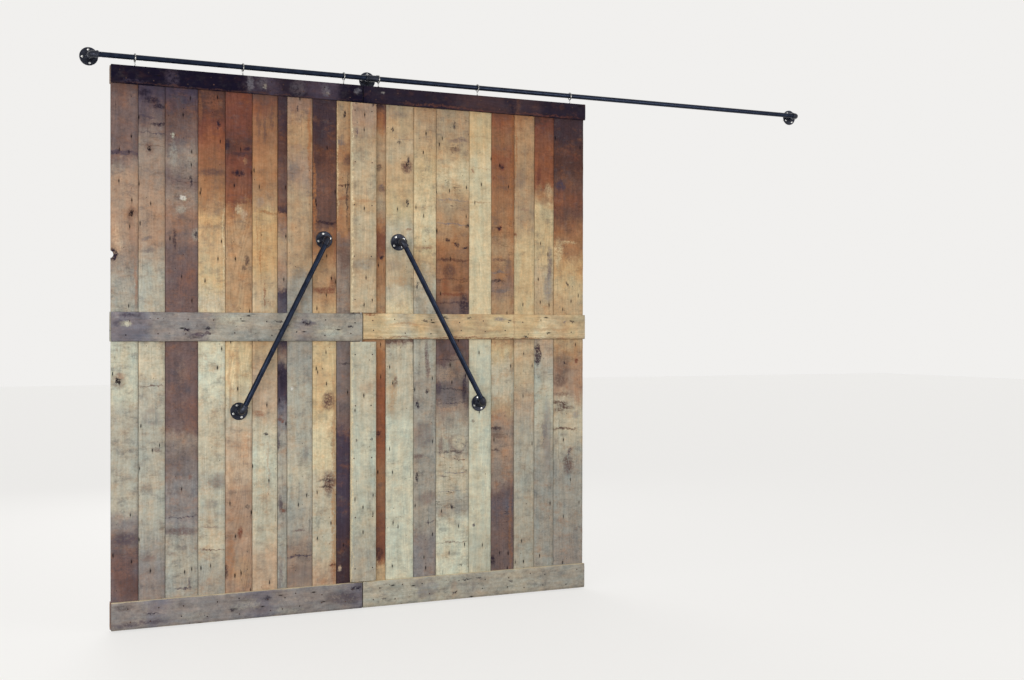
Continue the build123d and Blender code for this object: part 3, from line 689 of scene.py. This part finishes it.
def pick(kind, test):
    """Select the verts, edges or faces of the open piece that pass a test."""
    bpy.ops.mesh.select_mode(type={"verts": "VERT", "edges": "EDGE", "faces": "FACE"}[kind])
    bpy.ops.mesh.select_all(action="DESELECT")
    mesh = bpy.context.object.data
    shape = bmesh.from_edit_mesh(mesh)
    for item in getattr(shape, kind):
        if test(item):
            item.select_set(True)
    shape.select_flush_mode()
    bmesh.update_edit_mesh(mesh)


def cut(place, normal):
    """Cut the whole open piece by a plane and keep both sides."""
    everything()
    bpy.ops.mesh.bisect(plane_co=place, plane_no=normal)


def close_up():
    """Turn all faces of the open piece outwards and leave edit mode."""
    everything()
    bpy.ops.mesh.normals_make_consistent(inside=False)
    bpy.ops.object.mode_set(mode="OBJECT")


def finish_with(piece, kind, **settings):
    """Add a modifier to a piece and apply it."""
    take(piece)
    change = piece.modifiers.new(kind.lower(), kind)
    for key, value in settings.items():
        setattr(change, key, value)
    bpy.ops.object.modifier_apply(modifier=change.name)


def join(pieces, name):
    """Join pieces into one, smooth but for its sharp corners."""
    take(*pieces)
    if len(pieces) > 1:
        bpy.ops.object.join()
    bpy.ops.object.shade_smooth_by_angle(angle=SMOOTH_ANGLE)
    pieces[0].name = name
    return pieces[0]


def thread(root, depth, pitch, turns, steps=12, tip=0.0):
    """A helical thread that climbs Z from the origin, with a point below it if it has a tip."""
    alone()
    bpy.ops.mesh.primitive_plane_add(size=pitch, rotation=(math.radians(90), 0, 0))
    piece = settle("thread")
    pick("verts", lambda vert: vert.co.x < 0)
    bpy.ops.mesh.delete(type="VERT")
    everything()
    bpy.ops.mesh.subdivide(number_cuts=1)
    bpy.ops.transform.translate(value=(root - pitch / 2, 0, pitch / 2))
    pick("verts", lambda vert: abs(vert.co.z - pitch / 2) < pitch / 8)
    bpy.ops.transform.translate(value=(depth, 0, 0))
    bpy.ops.object.mode_set(mode="OBJECT")
    finish_with(piece, "SCREW", angle=math.radians(360), screw_offset=pitch, iterations=turns,
                steps=steps, render_steps=steps, use_merge_vertices=False)
    bpy.ops.object.mode_set(mode="EDIT")
    everything()
    bpy.ops.mesh.remove_doubles(threshold=pitch / 40)
    middle = (turns + 1) * pitch / 2
    pick("edges", lambda edge: edge.is_boundary and edge.verts[0].co.z > middle)
    bpy.ops.mesh.edge_face_add()
    pick("edges", lambda edge: edge.is_boundary and edge.verts[0].co.z < middle)
    if tip:
        bpy.ops.mesh.extrude_region_move(TRANSFORM_OT_translate={"value": (0, 0, -tip)})
        bpy.ops.mesh.merge(type="CENTER")
    else:
        bpy.ops.mesh.edge_face_add()
    close_up()
    return piece


def pan_screw(length):
    """A pan-head screw with a cross recess, its head on Z = 0 and its thread below."""
    alone()
    bpy.ops.mesh.primitive_cylinder_add(
        vertices=24, radius=HEAD_RADIUS, depth=HEAD_HEIGHT, location=(0, 0, HEAD_HEIGHT / 2))
    head = settle("pan_head")
    pick("edges", lambda edge: min(vert.co.z for vert in edge.verts) > HEAD_HEIGHT * 0.9)
    bpy.ops.mesh.bevel(offset=HEAD_DOME, segments=3, affect="EDGES")
    close_up()
    for turn in (0, 90):
        alone()
        bpy.ops.mesh.primitive_cube_add(
            size=1.0, location=(0, 0, HEAD_HEIGHT), scale=CROSS_RECESS, rotation=(0, 0, math.radians(turn)))
        blade = settle("driver")
        pick("faces", lambda face: face.normal.z < -0.9)
        bpy.ops.transform.resize(value=(0.4, 0.4, 1.0), center_override=(0, 0, HEAD_HEIGHT))
        close_up()
        finish_with(head, "BOOLEAN", operation="DIFFERENCE", solver="EXACT", object=blade)
        bpy.data.objects.remove(blade)
    turns = int(length / SCREW_PITCH) - 3
    tip = length - (turns + 0.5) * SCREW_PITCH
    shank = thread(SCREW_ROOT, SCREW_THREAD, SCREW_PITCH, turns, tip=tip)
    shank.data.transform(Matrix.Translation((0, 0, SCREW_SINK - (turns + 1) * SCREW_PITCH)))
    return join([head, shank], "pan_screw")


def eye_bolt():
    """A forged ring on a threaded shank, in place round the rail's axis."""
    alone()
    bpy.ops.mesh.primitive_torus_add(
        major_radius=EYE_RADIUS, minor_radius=EYE_WIRE, major_segments=44, minor_segments=14,
        location=(0, 0, EYE_CENTRE), rotation=(0, math.radians(90), 0))
    ring = settle("ring")
    everything()
    bpy.ops.transform.resize(value=(0.94, 1.0, 1.0), center_override=(0, 0, EYE_CENTRE))
    close_up()
    top, foot = EYE_CENTRE - EYE_RADIUS, DOOR_TOP + EYE_NECK
    alone()
    bpy.ops.mesh.primitive_cylinder_add(
        vertices=18, radius=EYE_WIRE, depth=top - foot, location=(0, 0, (top + foot) / 2))
    neck = settle("neck")
    pick("faces", lambda face: face.normal.z < -0.9)
    bpy.ops.mesh.extrude_region_move(TRANSFORM_OT_translate={"value": (0, 0, -EYE_CHAMFER)})
    bpy.ops.transform.resize(value=(0.84, 0.84, 1.0), center_override=(0, 0, foot))
    cut((0, 0, top - EYE_SWELL), (0, 0, 1))
    pick("faces", lambda face: face.normal.z > 0.9)
    bpy.ops.transform.resize(value=(1.3, 1.45, 1.0), center_override=(0, 0, top))
    close_up()
    shank = thread(EYE_ROOT, EYE_THREAD, EYE_PITCH, EYE_TURNS, tip=EYE_TIP)
    shank.data.transform(Matrix.Translation((0, 0, foot - (EYE_TURNS + 1) * EYE_PITCH)))
    return join([ring, neck, shank], "eye_bolt")


def nail_head():
    """A flat nail head with an eased rim, its wood side on Z = 0."""
    alone()
    bpy.ops.mesh.primitive_cylinder_add(vertices=10, radius=NAIL_HEAD, depth=2 * NAIL_PROUD)
    head = settle("nail_head")
    pick("edges", lambda edge: min(vert.co.z for vert in edge.verts) > NAIL_PROUD * 0.9)
    bpy.ops.mesh.bevel(offset=NAIL_PROUD, segments=1, affect="EDGES")
    close_up()
    return join([head], "nail_head")


def worn_board(name, material, rub, hollow):
    """A board made from its solid, its arrises rubbed off and its faces worn hollow."""
    low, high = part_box(name)
    middle, half = (low + high) / 2, (high - low) / 2
    upright = half.z > half.x
    piece = bpy.data.objects.new(f"{name}_worn", nodes[name].data.copy())
    scene.collection.objects.link(piece)
    take(piece)
    bpy.ops.object.mode_set(mode="EDIT")
    everything()
    bpy.ops.mesh.remove_doubles(threshold=0.01 * MM)
    bpy.ops.mesh.dissolve_limited(angle_limit=math.radians(1))
    for axis in (0, 2):
        lengthwise = (axis == 2) == upright
        steps = round(2 * half[axis] / (ALONG_STEP if lengthwise else ACROSS_STEP))
        normal = [float(axis == other) for other in range(3)]
        for step in range(1, steps):
            place = list(middle)
            place[axis] = low[axis] + 2 * half[axis] * step / steps
            cut(place, normal)
    for depth in (low.y + CORE_DEPTH, high.y - CORE_DEPTH):
        cut((0, depth, 0), (0, 1, 0))
    close_up()

    # The middle of the side faces isn't worn, so that the joints between the boards stay closed
    side = 0 if upright else 2
    skin = [vert for vert in piece.data.vertices if abs(vert.co.y - middle.y) > half.y - CORE_DEPTH / 2]
    rubbed = [vert for vert in skin if abs(vert.co[side] - middle[side]) > half[side] - ARRIS_WIDTH]
    for verts, pattern, strength in ((rubbed, rub, ARRIS_WEAR), (skin, hollow, FACE_WEAR)):
        group = piece.vertex_groups.new(name=pattern.name)
        group.add([vert.index for vert in verts], 1.0, "REPLACE")
        finish_with(piece, "DISPLACE", texture=pattern, texture_coords="LOCAL", mid_level=1.0,
                    strength=strength, vertex_group=pattern.name)
    piece.vertex_groups.clear()
    join([piece], piece.name)
    coat(piece, material)
    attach(piece, DOORS[name.split("_")[0]])
    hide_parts(name)


def clouds(name, size, depth):
    """A procedural cloud pattern for a Displace modifier."""
    pattern = bpy.data.textures.new(name, "CLOUDS")
    pattern.noise_scale = size
    pattern.noise_depth = depth
    return pattern


def on_face(x, y, z):
    """A place whose own Z points into the room and whose own Y points up."""
    return Matrix.Translation((x, y, z)) @ Matrix.Rotation(math.radians(90), 4, "X")


def aimed(place, direction):
    """A place whose own Z points along a direction."""
    return Matrix.Translation(place) @ Vector(direction).to_track_quat("Z", "Y").to_matrix().to_4x4()


def outfit(template, name, spots, body, material, stands_for=None):
    """Copy a piece to every spot, join the copies, and let them ride with a body."""
    copies = []
    for spot in spots:
        copy = bpy.data.objects.new(name, template.data.copy())
        copy.data.transform(spot)
        scene.collection.objects.link(copy)
        copies.append(copy)
    piece = join(copies, name)
    coat(piece, material)
    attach(piece, body)
    if stands_for:
        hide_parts(stands_for)


def screw_spots(place, turn):
    """Four screws on a flange, their recesses turned at random."""
    spots = []
    for quarter in range(4):
        angle = math.radians(turn + 90 * quarter)
        seat = Matrix.Translation((SCREW_RING * math.cos(angle), SCREW_RING * math.sin(angle), FLANGE_PLATE))
        spots.append(place @ seat @ Matrix.Rotation(chance.uniform(0, 1.5), 4, "Z"))
    return spots


def handle_places(side):
    """The two flange places of a handle, and the way its pipe runs down."""
    outward, tilt, _ = HANDLES[side]
    slope = Vector((outward * math.sin(math.radians(tilt)), 0, -math.cos(math.radians(tilt))))
    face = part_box(f"{side}_plank_05")[0].y
    top = Vector((MEETING + outward * HANDLE_INSET, face, DOOR_FOOT + HANDLE_TOP))
    return (top, top + slope * HANDLE_LENGTH), slope


def fixings(plate, eye_zinc_shaded, pipe_iron):
    """Screws, eye bolts and pipe threads."""
    long_screw, short_screw, bolt = pan_screw(WALL_SCREW), pan_screw(DOOR_SCREW), eye_bolt()
    turns = thread(PIPE_RADIUS + 0.02 * MM, PIPE_THREAD, PIPE_PITCH, 2, steps=20)
    spots = []
    for x, turn in zip(RAIL_PLACES.values(), RAIL_TURNS):
        spots += screw_spots(on_face(x, 0, 0), turn)
    outfit(long_screw, "wall_pan_screws", spots, "rail", plate, "wall_screws")

    left, middle, right = RAIL_PLACES.values()
    spots = [aimed((x + way * REACH, RAIL_Y, 0), (way, 0, 0))
             for x, way in ((left, 1), (middle, -1), (middle, 1), (right, -1))]
    for x in RAIL_PLACES.values():
        spots += [aimed((x, -FLANGE_HEIGHT, 0), (0, -1, 0)), aimed((x, RAIL_Y + REACH, 0), (0, 1, 0))]
    outfit(turns, "rail_threads", spots, "rail", pipe_iron)

    for side, door in DOORS.items():
        places, slope = handle_places(side)
        spots = []
        for place, turn in zip(places, HANDLES[side][2]):
            spots += screw_spots(on_face(*place), turn)
        outfit(short_screw, f"{side}_handle_pan_screws", spots, door, plate, f"{side}_handle_screws")
        spots = [Matrix.Translation((x, RAIL_Y, 0)) for x in HANGERS[side]]
        outfit(bolt, f"{side}_hangers", spots, door, eye_zinc_shaded, f"{side}_eye_bolts")
        spots = []
        for place, way in zip(places, (slope, -slope)):
            elbow = place + Vector((0, -HANDLE_STANDOFF, 0))
            spots.append(aimed(elbow + way * REACH, way))
            spots.append(aimed(elbow + Vector((0, REACH, 0)), (0, 1, 0)))
            spots.append(aimed(place + Vector((0, -FLANGE_HEIGHT, 0)), (0, -1, 0)))
        outfit(turns, f"{side}_handle_threads", spots, door, pipe_iron)
    for template in (long_screw, short_screw, bolt, turns):
        bpy.data.objects.remove(template)


def nails():
    """Nails through the level boards into each plank, and along the cover strips."""
    template, material = nail_head(), rusty()
    for side, door in DOORS.items():
        front, back = [], []
        planks = [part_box(name) for name in nodes if name.startswith(f"{side}_plank")]
        for level in ("top", "middle", "bottom"):
            rail_low, rail_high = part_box(f"{side}_{level}_rail")
            batten_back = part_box(f"{side}_{level}_batten")[1].y
            for low, high in planks:
                for share in (0.27, 0.73):
                    x = low.x + (high.x - low.x) * chance.uniform(0.25, 0.75)
                    z = rail_low.z + (rail_high.z - rail_low.z) * (share + chance.uniform(-0.08, 0.08))
                    front.append(on_face(x, rail_low.y, z))
                    back.append(aimed((x + chance.uniform(-0.01, 0.01), batten_back, z), (0, 1, 0)))
        if side == "left":
            for strip in ("upper", "lower"):
                low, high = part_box(f"left_cover_{strip}")
                for share in (0.05, 0.275, 0.5, 0.725, 0.95):
                    z = low.z + (high.z - low.z) * share + chance.uniform(-0.02, 0.02)
                    for x in (low.x + 20 * MM, high.x - 25 * MM):
                        front.append(on_face(x + chance.uniform(-0.005, 0.005), low.y, z))
        outfit(template, f"{side}_front_nails", front, door, material)
        outfit(template, f"{side}_back_nails", back, door, material)
    bpy.data.objects.remove(template)


def floor():
    """The plain floor, just under the doors. To the camera it has some light of its own."""
    alone()
    bpy.ops.mesh.primitive_plane_add(size=60.0, location=(0, 0, DOOR_FOOT - FLOOR_GAP))
    plane = bpy.context.object
    plane.name = "floor"
    finish = Finish("floor")
    glow = finish.mix((0, 0, 0, 1), (0.68, 0.672, 0.658, 1), finish.seen())
    coat(plane, finish.wear(Base_Color=(0.15, 0.148, 0.143, 1), Roughness=0.8, Emission_Color=glow,
                            Emission_Strength=1.0))


def surroundings():
    """A pale room: white to the camera and in reflections, softer as light."""
    scene.world = bpy.data.worlds.new("room")
    scene.world.use_nodes = True
    room = Wiring(scene.world.node_tree)
    shade = room.tree.nodes["Background"]
    as_light, as_seen = 0.55, 0.88
    strength = room.add("ShaderNodeMapRange", inputs={0: room.seen(), 3: as_light, 4: as_seen})
    room.feed(shade.inputs["Strength"], strength)
    room.feed(shade.inputs["Color"], (1.0, 0.988, 0.97, 1))


def lamp(name, place, size, power):
    """A rectangular lamp that faces the middle of the doors."""
    light = bpy.data.lights.new(name, "AREA")
    light.shape = "RECTANGLE"
    light.size, light.size_y = size
    light.energy = power
    piece = bpy.data.objects.new(name, light)
    scene.collection.objects.link(piece)
    piece.location = place
    piece.rotation_euler = (Vector((0.0, 0.0, -1.4)) - Vector(place)).to_track_quat("-Z", "Y").to_euler()


def camera():
    """A plain lens fitted to the photograph's view of the doors."""
    pan, tilt, roll = (math.radians(angle) for angle in (-26.131, 90 - 0.406, 0.104))
    data = bpy.data.cameras.new("view")
    data.sensor_width = 36.0
    data.lens = 47.52
    piece = bpy.data.objects.new("view", data)
    scene.collection.objects.link(piece)
    turn = Matrix.Rotation(pan, 4, "Z") @ Matrix.Rotation(tilt, 4, "X") @ Matrix.Rotation(roll, 4, "Z")
    piece.matrix_world = Matrix.Translation((-2.4799, -6.8173, -1.3285)) @ turn
    scene.camera = piece


finishes = {name: board(name, True, **look) for name, look in UPRIGHTS.items()}
finishes |= {name: board(name, False, **look) for name, look in (LEVELS | BATTENS).items()}
pipe_iron = iron("drawn_iron", (0.004, 0.008, 0.022, 1), (0.011, 0.019, 0.042, 1), bare_and_glint=0.2, rough=0.2,
                 gloss=0.25, oil=0.05, sand_depth=0.2 * MM)
cast_iron = iron("cast_iron", (0.009, 0.011, 0.021, 1), (0.026, 0.03, 0.046, 1), bare_and_glint=0.4, rough=0.26,
                 gloss=0.35, oil=0.12, sand_depth=0.7 * MM)
# The eye bolts' zinc is a darker copy of the screws' zinc: painted shade, for the eye bolts in the pipe's shadow
plate, eye_zinc_shaded = zinc("screw_plate", 0.42, 0.8), zinc("eye_plate_shaded", 0.13, 0.45)
for name, piece in nodes.items():
    if "screws" in name or "eye_bolts" in name:
        coat(piece, plate)
    elif "pipe_" in name or name.endswith("_pipe") or "nipples" in name:
        coat(piece, pipe_iron)
    elif "tee" in name or "elbow" in name or "flange" in name:
        coat(piece, cast_iron)

rub, hollow = clouds("rub", 45 * MM, 2), clouds("hollow", 160 * MM, 1)
for name, material in finishes.items():
    worn_board(name, material, rub, hollow)
fixings(plate, eye_zinc_shaded, pipe_iron)
nails()
floor()
surroundings()
lamp("window", (-3.8, -5.0, -1.0), (3.2, 2.4), 192)
lamp("side", (-4.9, -1.5, -1.2), (0.8, 2.4), 40)
lamp("room", (4.2, -5.4, -0.6), (3.0, 2.4), 128)
lamp("behind", (0.5, 5.0, 0.4), (3.0, 2.4), 100)
camera()
scene.view_settings.view_transform = "Standard"
